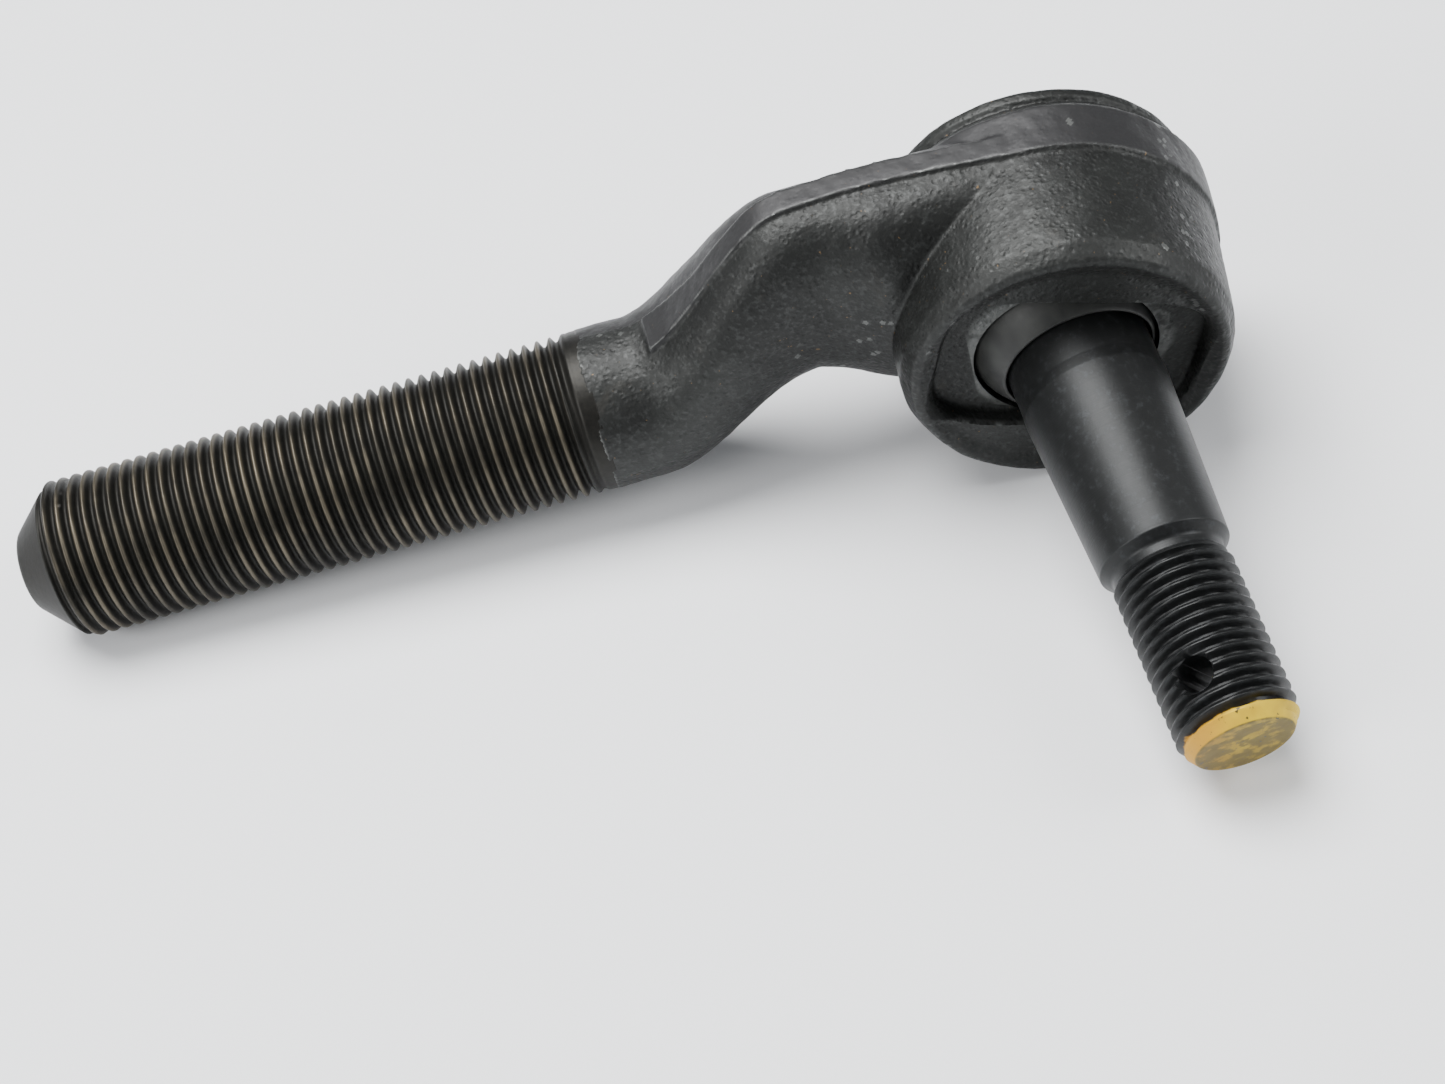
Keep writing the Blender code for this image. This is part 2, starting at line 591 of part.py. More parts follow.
def stand_on_origin(base):
    """Moves the whole part so that the middle of its underside is at the origin."""
    bpy.context.view_layer.update()
    depsgraph = bpy.context.evaluated_depsgraph_get()
    low = Vector((1, 1, 1)) * 10
    high = -low
    for piece in PARTS.objects:
        evaluated = piece.evaluated_get(depsgraph)
        mesh = evaluated.to_mesh()
        for vertex in mesh.vertices:
            place = evaluated.matrix_world @ vertex.co
            low = Vector(map(min, low, place))
            high = Vector(map(max, high, place))
        evaluated.to_mesh_clear()
    shift = Vector(((low.x + high.x) / 2, (low.y + high.y) / 2, low.z))
    base.matrix_world = Matrix.Translation(-shift) @ base.matrix_world
    bpy.context.view_layer.update()


for old in list(bpy.data.objects):
    bpy.data.objects.remove(old, do_unlink=True)
PARTS = make_collection(PART_NAME)
CUTTERS = make_collection("cutters")

forged = make_material("forged steel", (0.045, 0.048, 0.050), 0.55, 0.7)
phosphated = make_material("phosphated steel", (0.06, 0.065, 0.066), 0.42, 0.8)
bearing = make_material("sintered bearing steel", (0.22, 0.23, 0.22), 0.45, 0.8)
grey_steel = make_material("grey steel", (0.25, 0.25, 0.25), 0.5, 0.8)
zinc_plate = make_material("zinc plated steel", (0.55, 0.55, 0.53), 0.35, 0.9)
spring_steel = make_material("spring steel", (0.12, 0.12, 0.13), 0.35, 0.9)

lying_pose = lying_empty()
socket_axis = socket_empty(lying_pose)
swing_axis = swing_empty(socket_axis)

build_housing(lying_pose, socket_axis, forged)
build_stud(swing_axis, phosphated)
build_half_ball(swing_axis, bearing)
build_seat(socket_axis, grey_steel)
build_spring(socket_axis, spring_steel)
build_cover(socket_axis, zinc_plate)
build_fitting(socket_axis, zinc_plate)
build_check_ball(socket_axis, grey_steel)
build_check_spring(socket_axis, spring_steel)
stand_on_origin(lying_pose)
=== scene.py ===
import json
from math import cos, hypot, pi, radians, sin, sqrt, tan

import bmesh
import bpy
import numpy as np
from mathutils import Matrix, Vector, noise


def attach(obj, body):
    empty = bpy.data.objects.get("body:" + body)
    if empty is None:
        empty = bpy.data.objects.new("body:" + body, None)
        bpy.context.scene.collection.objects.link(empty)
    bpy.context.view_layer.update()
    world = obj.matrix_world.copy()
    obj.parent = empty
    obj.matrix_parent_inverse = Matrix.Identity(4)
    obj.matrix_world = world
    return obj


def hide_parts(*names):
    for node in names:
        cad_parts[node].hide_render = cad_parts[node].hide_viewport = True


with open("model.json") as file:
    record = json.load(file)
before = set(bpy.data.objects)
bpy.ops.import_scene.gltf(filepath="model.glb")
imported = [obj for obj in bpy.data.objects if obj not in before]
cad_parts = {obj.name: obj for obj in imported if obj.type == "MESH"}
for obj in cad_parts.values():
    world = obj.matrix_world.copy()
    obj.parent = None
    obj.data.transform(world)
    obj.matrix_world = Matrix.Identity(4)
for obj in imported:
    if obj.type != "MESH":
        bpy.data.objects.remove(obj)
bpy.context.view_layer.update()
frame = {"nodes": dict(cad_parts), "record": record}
mm = 0.001

# Frames: the shank's axis, the socket's axis and the stud's axis, all from the record
record = frame["record"]
joints = {joint["name"]: joint for joint in record["behaviour"]["joints"]}
mounts = {mount["name"]: mount for mount in record["mounts"]}
ball = Vector(joints["stud_lean"]["pos_m"])
socketAxis = Vector(joints["lean_heading"]["axis"]).normalized()
studAxis = Vector(joints["stud_spin"]["axis"]).normalized()
shankEnd = Vector(mounts["shank_end_face"]["pos_m"])
shankAxis = Vector(mounts["shank_end_face"]["axis"]).normalized()
upAxis = socketAxis.cross(-shankAxis).normalized()


def frameFrom(xAxis, zAxis, origin):
    yAxis = zAxis.cross(xAxis).normalized()
    matrix = Matrix((yAxis.cross(zAxis).normalized(), yAxis, zAxis)).transposed().to_4x4()
    return Matrix.Translation(origin) @ matrix


shankLength = (ball - shankEnd).dot(-shankAxis)
forgingFrame = frameFrom(-shankAxis, upAxis, shankEnd - shankAxis * shankLength)
socketFrame = frameFrom(-shankAxis, socketAxis, ball)
swing = socketAxis.rotation_difference(studAxis).to_matrix().to_4x4()
studFrame = Matrix.Translation(ball) @ swing @ Matrix.Translation(-ball) @ socketFrame
shankFrame = forgingFrame @ Matrix.Rotation(-pi / 2, 4, "Y")


# Mesh helpers
def addMesh(name, vertices, faces, matrix, smooth=True):
    mesh = bpy.data.meshes.new(name)
    mesh.from_pydata([tuple(v) for v in vertices], [], faces)
    piece = bpy.data.objects.new(name, mesh)
    bpy.context.scene.collection.objects.link(piece)
    piece.matrix_world = matrix
    if smooth:
        mesh.shade_smooth()
    return piece


def gridFaces(rows, around):
    faces = []
    for i in range(rows - 1):
        for j in range(around):
            k = (j + 1) % around
            faces.append((i * around + j, i * around + k, (i + 1) * around + k, (i + 1) * around + j))
    return faces


# Turns (r, z) points, listed outer side from the top down, with an optional change of radius
def turned(name, profile, around, matrix, closed=False, bump=None):
    angles = np.linspace(0, 2 * pi, around, endpoint=False)
    vertices = []
    for r, z in profile:
        extra = bump(r, z, angles) if bump else 0
        radius = np.maximum(r + extra, 0)
        ring = np.stack([radius * np.cos(angles), radius * np.sin(angles), np.full(around, z)], 1)
        vertices.append(ring)
    rows = len(profile)
    faces = gridFaces(rows, around)
    if closed:
        last = (rows - 1) * around
        for j in range(around):
            k = (j + 1) % around
            faces.append((last + j, last + k, k, j))
    piece = addMesh(name, np.concatenate(vertices), faces, matrix)
    weld(piece)
    return piece


def weld(piece):
    form = bmesh.new()
    form.from_mesh(piece.data)
    bmesh.ops.remove_doubles(form, verts=form.verts, dist=0.002 * mm)
    bmesh.ops.recalc_face_normals(form, faces=form.faces)
    form.to_mesh(piece.data)
    form.free()


# Rounds each (r, z, radius) corner of a profile with an arc
def rounded(corners, steps=5):
    out = []
    for i, (r, z, fillet) in enumerate(corners):
        here = Vector((r, z))
        if fillet == 0 or i in (0, len(corners) - 1):
            out.append((r, z))
            continue
        before = Vector(corners[i - 1][:2]) - here
        after = Vector(corners[i + 1][:2]) - here
        half = before.angle(after) / 2
        reach = min(fillet / tan(half), before.length * 0.48, after.length * 0.48)
        radius = reach * tan(half)
        middle = (before.normalized() + after.normalized()).normalized() * (radius / sin(half))
        first = before.normalized() * reach - middle
        last = after.normalized() * reach - middle
        for k in range(steps + 1):
            blend = first.lerp(last, k / steps).normalized() * radius
            spot = here + middle + blend
            out.append((max(spot.x, 0), spot.y))
    return out


# Adds points so that none are much further apart than a step
def dense(points, step):
    out = [points[0]]
    for a, b in zip(points, points[1:]):
        count = max(int(hypot(b[0] - a[0], b[1] - a[1]) / step), 1)
        for k in range(1, count + 1):
            out.append((a[0] + (b[0] - a[0]) * k / count, a[1] + (b[1] - a[1]) * k / count))
    return out


def applied(piece):
    depsgraph = bpy.context.evaluated_depsgraph_get()
    mesh = bpy.data.meshes.new_from_object(piece.evaluated_get(depsgraph))
    piece.modifiers.clear()
    piece.data = mesh
    return piece


def cut(piece, cutter, operation="DIFFERENCE"):
    boolean = piece.modifiers.new(operation.lower(), "BOOLEAN")
    boolean.operation = operation
    boolean.object = cutter
    boolean.solver = "MANIFOLD"
    applied(piece)
    bpy.data.objects.remove(cutter, do_unlink=True)


def creased(piece, angle):
    piece.data.set_sharp_from_angle(angle=radians(angle))


def smoothStep(t):
    t = min(max(t, 0), 1)
    return t * t * (3 - 2 * t)


# How far below the crest a right-hand thread's surface lies: flat crest, sloped flanks, rounded root
def threadDepth(z, angles, pitch, depth):
    phase = (z / pitch - angles / (2 * pi)) % 1
    away = np.abs(phase - 0.5) * 2
    flank = np.clip((0.86 - away) / 0.68, 0, 1)
    return depth * (flank - 0.10 * np.sin(2 * pi * flank) / (2 * pi))


# A rounded box outline: a power of 2 is an ellipse, a higher one is squarer
def squarish(halfWide, halfTall, power, count):
    points = []
    for k in range(count):
        c, s = cos(2 * pi * k / count), sin(2 * pi * k / count)
        points.append((halfWide * abs(c) ** (2 / power) * (1 if c >= 0 else -1),
                       halfTall * abs(s) ** (2 / power) * (1 if s >= 0 else -1)))
    return points


# The change of radius that cuts a thread above z = start, fading in over a run from the lead
def threadBump(size, radius, below, lead, run):
    def bump(r, z, angles):
        if r < 0.5 or z < size["threadStart"] - below:
            return 0
        fade = smoothStep((z - size["threadStart"] + lead) / run)
        root = radius - threadDepth(z, angles, size["pitch"], size["depth"]) * fade
        return np.minimum(r, root) - r

    return bump


def threadRows(start, end, pitch, perPitch):
    count = int((start - end) / pitch * perPitch)
    return [start + (end - start) * i / count for i in range(count + 1)]


# A shader socket that takes part in sums
class Wire:
    def __init__(self, tree, socket):
        self.tree = tree
        self.socket = socket

    def math(self, operation, other, flip=False):
        node = self.tree.nodes.new("ShaderNodeMath")
        node.operation = operation
        pair = (other, self) if flip else (self, other)
        for slot, value in zip(node.inputs, pair):
            plug(self.tree, slot, value)
        return Wire(self.tree, node.outputs[0])

    def __add__(self, other): return self.math("ADD", other)
    def __radd__(self, other): return self.math("ADD", other, True)
    def __sub__(self, other): return self.math("SUBTRACT", other)
    def __rsub__(self, other): return self.math("SUBTRACT", other, True)
    def __mul__(self, other): return self.math("MULTIPLY", other)
    def __rmul__(self, other): return self.math("MULTIPLY", other, True)
    def __truediv__(self, other): return self.math("DIVIDE", other)
    def __pow__(self, other): return self.math("POWER", other)

    # 0 below low, 1 above high, eased between
    def step(self, low, high):
        node = self.tree.nodes.new("ShaderNodeMapRange")
        node.interpolation_type = "SMOOTHSTEP"
        self.tree.links.new(self.socket, node.inputs["Value"])
        node.inputs["From Min"].default_value = low
        node.inputs["From Max"].default_value = high
        return Wire(self.tree, node.outputs["Result"])


def plug(tree, slot, value):
    if isinstance(value, Wire):
        tree.links.new(value.socket, slot)
    elif isinstance(value, tuple) and slot.type == "RGBA":
        slot.default_value = (*value, 1)
    else:
        slot.default_value = value


# A material with its shader, and one method for every other node
class Finish:
    def __init__(self, name):
        self.material = bpy.data.materials.new(name)
        self.material.use_nodes = True
        self.tree = self.material.node_tree
        self.shader = self.tree.nodes["Principled BSDF"]

    def node(self, kind, output=0, settings=None, **inputs):
        node = self.tree.nodes.new(kind)
        for key, value in (settings or {}).items():
            setattr(node, key, value)
        for key, value in inputs.items():
            plug(self.tree, node.inputs[key.replace("_", " ")], value)
        return Wire(self.tree, node.outputs[output])

    def place(self):
        return self.node("ShaderNodeTexCoord", "Object")

    def along(self, axis):
        return self.node("ShaderNodeSeparateXYZ", axis, Vector=self.place())

    def noise(self, scale, detail=3.0, roughness=0.55):
        return self.node("ShaderNodeTexNoise", "Fac", Vector=self.place(), Scale=scale,
                         Detail=detail, Roughness=roughness)

    def cells(self, scale):
        return self.node("ShaderNodeTexVoronoi", "Distance", Vector=self.place(), Scale=scale)

    def mix(self, factor, first, second):
        node = self.tree.nodes.new("ShaderNodeMix")
        node.data_type = "RGBA"
        plug(self.tree, node.inputs[0], factor)
        plug(self.tree, node.inputs[6], first)
        plug(self.tree, node.inputs[7], second)
        return Wire(self.tree, node.outputs[2])

    def edges(self, low, high):
        geometry = self.tree.nodes.new("ShaderNodeNewGeometry")
        return Wire(self.tree, geometry.outputs["Pointiness"]).step(low, high)

    def set(self, **inputs):
        for key, value in inputs.items():
            plug(self.tree, self.shader.inputs[key.replace("_", " ")], value)

    def bump(self, height, strength, distance):
        self.set(Normal=self.node("ShaderNodeBump", Height=height, Strength=strength, Distance=distance))

    def give(self, piece):
        piece.data.materials.clear()
        piece.data.materials.append(self.material)


# Dark scaled skin, smoother and paler on the sheared flash land, with sharp edges lightened partly as rubbed
# wear and partly as painted highlight
def forgedFinish():
    finish = Finish("forgedSkin")
    land = finish.node("ShaderNodeAttribute", "Fac", {"attribute_name": "land"})
    broad = finish.noise(90, 4)
    fine = finish.noise(1000, 5, 0.65)
    grain = finish.noise(1900, 2, 0.5)
    speck = finish.cells(1400)
    pits = 1 - speck.step(0.10, 0.45)
    stain = finish.noise(260, 4).step(0.62, 0.78)
    rust = finish.noise(1700, 2).step(0.72, 0.77)
    # worn: sharp edges lightened, partly real rubbed wear and partly a painted highlight where the edges
    # catch the light
    worn = finish.edges(0.512, 0.545) * finish.noise(500, 3).step(0.30, 0.58)
    colour = finish.mix(broad.step(0.35, 0.68), (0.0055, 0.006, 0.0055), (0.013, 0.014, 0.013))
    colour = finish.mix(grain.step(0.50, 0.70) * 0.5, colour, (0.030, 0.032, 0.031))
    colour = finish.mix(stain * 0.35, colour, (0.034, 0.030, 0.024))
    colour = finish.mix(rust * 0.7, colour, (0.14, 0.085, 0.035))
    colour = finish.mix(land * 0.7, colour, (0.026, 0.0255, 0.027))
    # lighter colour on sharp edges: rubbed wear and painted highlight
    colour = finish.mix(worn * 0.6, colour, (0.12, 0.125, 0.12))
    finish.set(Base_Color=colour, Metallic=0.5, Roughness=0.60 - grain * 0.22 - worn * 0.1)
    height = (grain * 0.9 + fine * 0.4 - pits * 0.5) * (1 - land * 0.7) + broad * 0.8
    finish.bump(height, 0.8, 0.08 * mm)
    return finish


# Dark flanks and roots, rubbed crests with a bronze tint
def threadFinish():
    finish = Finish("shankThread")
    across, beside = finish.along(0) / mm, finish.along(1) / mm
    crest = (across * across + beside * beside) ** 0.5
    station = finish.along(2) / mm
    threaded = station.step(50.6, 51.4) * (1 - station.step(105.2, 106.2))
    rub = crest.step(8.15, 8.55)
    patch = finish.noise(150, 4).step(0.36, 0.66)
    fine = finish.noise(1400, 4, 0.6)
    colour = finish.mix(fine, (0.006, 0.006, 0.0055), (0.020, 0.019, 0.016))
    colour = finish.mix(rub * threaded * (0.15 + patch * 0.6), colour, (0.120, 0.102, 0.072))
    finish.set(Base_Color=colour, Metallic=0.75, Roughness=0.50 - rub * 0.12 + fine * 0.12)
    finish.bump(fine, 0.5, 0.05 * mm)
    return finish


# Black phosphate, with paint on the chamfered tip that is rubbed off the end face, and painted shade
# darkening the paint on its left side
def studFinish():
    finish = Finish("phosphatedStud")
    fine = finish.noise(1300, 5, 0.65)
    broad = finish.noise(140, 3)
    lines = finish.node("ShaderNodeTexNoise", "Fac", {"noise_dimensions": "1D"},
                        W=finish.along(2), Scale=5200.0, Detail=2.0)
    height = finish.along(2) / mm
    ragged = (finish.noise(420, 4) - 0.5) * 1.1 + (finish.noise(75, 2) - 0.5) * 0.9
    paint = (height + ragged).step(49.75, 49.95)
    faceWear = height.step(51.26, 51.36) * (0.45 + finish.noise(650, 4).step(0.36, 0.55) * 0.5)
    chips = 1 - finish.noise(1500, 3).step(0.64, 0.70) * 0.9
    steel = finish.mix(broad, (0.006, 0.0065, 0.0065), (0.014, 0.015, 0.0155))
    steel = finish.mix(fine.step(0.5, 0.75) * 0.5, steel, (0.032, 0.035, 0.038))
    # painted shade: the paint on the stud's left side is coloured darker orange
    shadedLeftSide = 1 - (finish.along(0) / mm).step(-4.5, 0.5)
    yellow = finish.mix(finish.noise(260, 3).step(0.3, 0.7), (0.42, 0.27, 0.0), (0.60, 0.41, 0.0))
    yellow = finish.mix(shadedLeftSide * 0.8, yellow, (0.42, 0.19, 0.0))
    worn = finish.mix(finish.noise(900, 4), (0.060, 0.045, 0.010), (0.15, 0.110, 0.018))
    yellow = finish.mix(faceWear, yellow, worn)
    colour = finish.mix(paint * chips, steel, yellow)
    shine = 0.34 + fine * 0.16 + lines * 0.05
    finish.set(Base_Color=colour, Metallic=0.6 - paint * 0.58, Roughness=shine + paint * chips * 0.2)
    finish.bump(fine * 0.5 + lines * 0.25, 0.45, 0.05 * mm)
    return finish


def plainSteel(name, dark, light, roughness, metallic, scale):
    finish = Finish(name)
    cloud = finish.noise(scale, 4)
    fine = finish.noise(scale * 8, 3)
    colour = finish.mix(cloud.step(0.3, 0.7), dark, light)
    finish.set(Base_Color=colour, Metallic=metallic, Roughness=roughness + (fine - 0.5) * 0.2)
    finish.bump(fine, 0.3, 0.03 * mm)
    return finish


# The forging: bent arm, socket and flash land, skinned together so that they melt into each other
forging = {
    "shankRadius": 8.6, "collarEnd": 43.5, "bendEnd": 24.5, "rise": 10.6,
    "halfHeight": 10.8, "halfDepth": 6.6, "flare": 3.4,
    "settle": 2.8, "fillet": 2.4, "filletStart": 23.0, "filletEnd": 15.0, "squareness": 2.4,
    "rimRadius": 16.8, "rimPeak": 15.7, "mouth": 8.8, "face": 13.6, "sink": 0.7,
    "rear": 14.5, "landRadius": 17.8, "landHalf": 2.7, "landStep": 0.45, "landCentre": -7.7,
    "landWidth": 2.8, "landStartWidth": 4.6, "landFrom": 10.6, "landTo": 41.0, "landNarrows": 8,
    "lipRadius": 16.4, "lipHeight": 1.9, "threadStart": 49.2, "voxel": 0.20,
}


def armSection(u):
    f = forging
    bend = smoothStep((f["collarEnd"] - u) / (f["collarEnd"] - f["bendEnd"]))
    run = max(1 - (u / f["bendEnd"]) ** 2, 0)
    fillet = f["fillet"] * smoothStep((f["filletStart"] - u) / (f["filletStart"] - f["filletEnd"]))
    height = f["rise"] * bend - f["settle"] * run
    tall = f["shankRadius"] + (f["halfHeight"] - f["shankRadius"]) * bend + f["flare"] * run
    deep = f["shankRadius"] + (f["halfDepth"] - f["shankRadius"]) * bend + fillet / 2
    return -fillet / 2, height, deep, tall


def loft(name, sections, matrix):
    around = len(sections[0])
    vertices = [point for section in sections for point in section]
    faces = gridFaces(len(sections), around)
    faces.append(tuple(range(around)))
    faces.append(tuple(reversed(range(len(vertices) - around, len(vertices)))))
    piece = addMesh(name, vertices, faces, matrix)
    weld(piece)
    return piece


def armBlank():
    sections = []
    start = forging["threadStart"] - 0.9
    for i in range(70):
        u = start * (1 - i / 69)
        back, height, deep, tall = armSection(u)
        square = 2 + (forging["squareness"] - 2) * smoothStep((forging["collarEnd"] - u) / 8)
        outline = squarish(deep, tall, square, 96)
        sections.append([(-u * mm, (back + y) * mm, (height + z) * mm) for y, z in outline])
    return loft("arm", sections, forgingFrame)


# Front and rear edge of the flash land on the arm
def landEdges(u):
    f = forging
    lean = sqrt(1 - socketAxis.cross(shankAxis).length ** 2)
    away = smoothStep((u - f["landFrom"]) / (f["collarEnd"] - f["landFrom"]))
    front = lean * u * (1 - away) - f["landHalf"]
    wide = f["landStartWidth"] - f["landWidth"]
    return front, front + f["landWidth"] + wide * (1 - smoothStep((f["landTo"] - u) / f["landNarrows"]))


def armLand():
    sections = []
    start = forging["landTo"]
    for i in range(60):
        u = start - (start + 1) * i / 59
        back, height, deep, tall = armSection(u)
        front, rear = landEdges(u)
        tall += forging["landStep"]
        corners = ((front, -tall), (rear, -tall), (rear, tall), (front, tall))
        sections.append([(-u * mm, y * mm, (height + z) * mm) for y, z in corners])
    return loft("land", sections, forgingFrame)


def socketBlank():
    f = forging
    top = f["landCentre"] + f["landHalf"]
    bottom = f["landCentre"] - f["landHalf"]
    under = f["landRadius"] - f["landStep"]
    lip = -f["rear"] + f["lipHeight"]
    corners = [(0, f["mouth"] - f["sink"], 0), (f["face"], f["mouth"] - f["sink"], 1.5),
               (f["rimPeak"] - 0.5, f["mouth"], 0.5), (f["rimPeak"] + 0.2, f["mouth"] - 0.2, 0.6),
               (f["rimRadius"], f["mouth"] - 2.0, 1.5), (under, top + 0.4, 0.2),
               (f["landRadius"], top, 0.15), (f["landRadius"], bottom, 0.3),
               (under, bottom - 0.4, 0.3), (f["lipRadius"] + 0.2, lip + 0.7, 0.4),
               (f["lipRadius"] - 0.5, lip, 0.2), (f["lipRadius"], lip - 0.5, 0.3),
               (f["lipRadius"], -f["rear"], 0.9), (0, -f["rear"], 0)]
    scaled = [(r * mm, z * mm, fillet * mm) for r, z, fillet in corners]
    return turned("socket", rounded(scaled), 160, socketFrame)


def worldApplied(piece):
    piece.data.transform(piece.matrix_world)
    piece.matrix_world = Matrix.Identity(4)
    return piece


# Moves the surface along its normals by noise
def roughen(piece, scale, amount):
    places = [vertex.co.copy() for vertex in piece.data.vertices]
    normals = [vertex.normal.copy() for vertex in piece.data.vertices]
    moved = []
    for place, normal in zip(places, normals):
        value = noise.noise(place * scale) + 0.5 * noise.noise(place * scale * 2.7)
        moved.extend(place + normal * value * amount)
    piece.data.vertices.foreach_set("co", moved)


def buildForging():
    body = worldApplied(socketBlank())
    for blank in (armBlank(), armLand()):
        cut(body, worldApplied(blank), "UNION")
    # the remesher is only quick at sizes near 1, so it works in millimetres
    body.data.transform(Matrix.Scale(1 / mm, 4))
    remesh = body.modifiers.new("skin", "REMESH")
    remesh.mode = "VOXEL"
    remesh.voxel_size = forging["voxel"]
    soften = body.modifiers.new("soften", "SMOOTH")
    soften.factor = 0.5
    soften.iterations = 3
    applied(body)
    body.data.transform(Matrix.Scale(mm, 4))
    roughen(body, 260, 0.10 * mm)
    print("forging skinned", len(body.data.vertices))
    return body


pocket = {"length": 26.6, "width": 18.0, "turn": -16.0, "floor": 6.10, "squareness": 4.0,
          "hole": 9.35, "ball": 10.9, "bore": 11.1, "ledge": 13.2, "shoulder": -10.921,
          "lipInner": -13.121, "lipHole": 12.4}


def pocketCutter():
    p = pocket
    sections = []
    turn = Matrix.Rotation(radians(p["turn"]), 3, "Z")
    for height, grow in ((p["floor"], -0.5), (p["floor"] + 0.15, -0.2), (p["floor"] + 0.5, 0.0),
                         (7.7, 0.05), (8.1, 0.35), (12, 3.6)):
        outline = squarish(p["length"] / 2 + grow, p["width"] / 2 + grow, p["squareness"], 120)
        sections.append([tuple(turn @ Vector((x, y, height)) * mm) for x, y in outline])
    return loft("pocketCutter", sections, socketFrame)


def boreCutter():
    p = pocket
    holeHeight = sqrt(p["ball"] ** 2 - p["hole"] ** 2)
    points = [(0, p["floor"] + 0.5), (p["hole"], p["floor"] + 0.5), (p["hole"], holeHeight)]
    for i in range(1, 13):
        z = holeHeight * (1 - i / 12)
        points.append((sqrt(p["ball"] ** 2 - z * z), z))
    points += [(p["bore"], -0.5), (p["bore"], p["shoulder"]), (p["ledge"], p["shoulder"])]
    points += [(p["ledge"], p["lipInner"]), (p["lipHole"], p["lipInner"])]
    points += [(p["lipHole"], -13.9), (p["lipHole"] + 0.8, -14.6), (p["lipHole"] + 1.2, -16), (0, -16)]
    return turned("boreCutter", [(r * mm, z * mm) for r, z in points], 128, socketFrame)


# Marks the flash land on the arm and round the socket, for the finish
def markLand(body):
    f = forging
    toForging = forgingFrame.inverted()
    toSocket = socketFrame.inverted()
    values = []
    for vertex in body.data.vertices:
        here = toForging @ vertex.co / mm
        u = -here.x
        flat = 0.0
        if u > 12:
            back, height, deep, tall = armSection(u)
            front, rear = landEdges(u)
            across = smoothStep((here.y - front) / 0.3 + 0.5) * smoothStep((rear - here.y) / 0.3 + 0.5)
            along = smoothStep((f["landTo"] + 0.2 - u) / 0.4)
            flat = across * along * smoothStep((abs(here.z - height) - tall + 1.2) / 0.6)
        around = toSocket @ vertex.co / mm
        if hypot(around.x, around.y) > f["landRadius"] - 0.35:
            band = smoothStep((f["landHalf"] - abs(around.z - f["landCentre"])) / 0.3 + 0.5)
            flat = max(flat, band)
        values.append(flat)
    layer = body.data.attributes.new("land", "FLOAT", "POINT")
    layer.data.foreach_set("value", values)


def finishForging():
    body = buildForging()
    cut(body, worldApplied(pocketCutter()))
    cut(body, worldApplied(boreCutter()))
    body.name = "forgedHousing"
    creased(body, 50)
    markLand(body)
    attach(body, "body")
    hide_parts("housing")
    forgedFinish().give(body)
    print("forging cut", len(body.data.vertices))


# The threaded shank, turned with a helical thread that runs out before the collar
shank = {"radius": 8.58, "pitch": 1.411, "depth": 0.86, "threadStart": 49.2, "nose": 106.1,
         "faceRadius": 3.2, "around": 120, "perPitch": 12}


def buildShank():
    s = shank
    length = shankLength / mm
    edge = rounded([(0, length, 0), (s["faceRadius"] + 0.9, length, 1.4), (s["radius"], s["nose"], 0.6),
                    (s["radius"], s["nose"] - 2, 0)])
    rows = dense(edge, 0.16)
    rows += [(s["radius"], z) for z in threadRows(s["nose"] - 2, s["threadStart"] - 1.5,
                                                  s["pitch"], s["perPitch"])]
    rows.append((s["radius"] - 1.2, s["threadStart"] - 1.6))
    rows.append((0, s["threadStart"] - 1.6))
    thread = threadBump(s, s["radius"], below=1.55, lead=0.4, run=2.2)
    piece = turned("threadedShank", rows, s["around"], Matrix.Identity(4), bump=thread)
    piece.data.transform(Matrix.Scale(mm, 4))
    piece.matrix_world = shankFrame
    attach(piece, "body")
    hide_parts("housing")
    threadFinish().give(piece)
    print("shank threaded", len(piece.data.vertices))


# The stud: head, neck, taper, relief, thread, painted tip and cotter hole
stud = {"length": 51.4, "threadRadius": 5.9, "threadStart": 33.1, "pitch": 1.25, "depth": 0.74,
        "tipRadius": 4.75, "tipChamfer": 1.6, "taperStart": 12.0, "taperStartRadius": 7.45,
        "taperEnd": 30.9, "taperEndRadius": 6.5, "relief": 5.5, "neck": 7.35, "head": 10.1,
        "headDepth": 4.5, "headTop": -0.3, "cotter": 1.75, "cotterFromTip": 6.2, "cotterTurn": 119,
        "around": 120, "perPitch": 12}


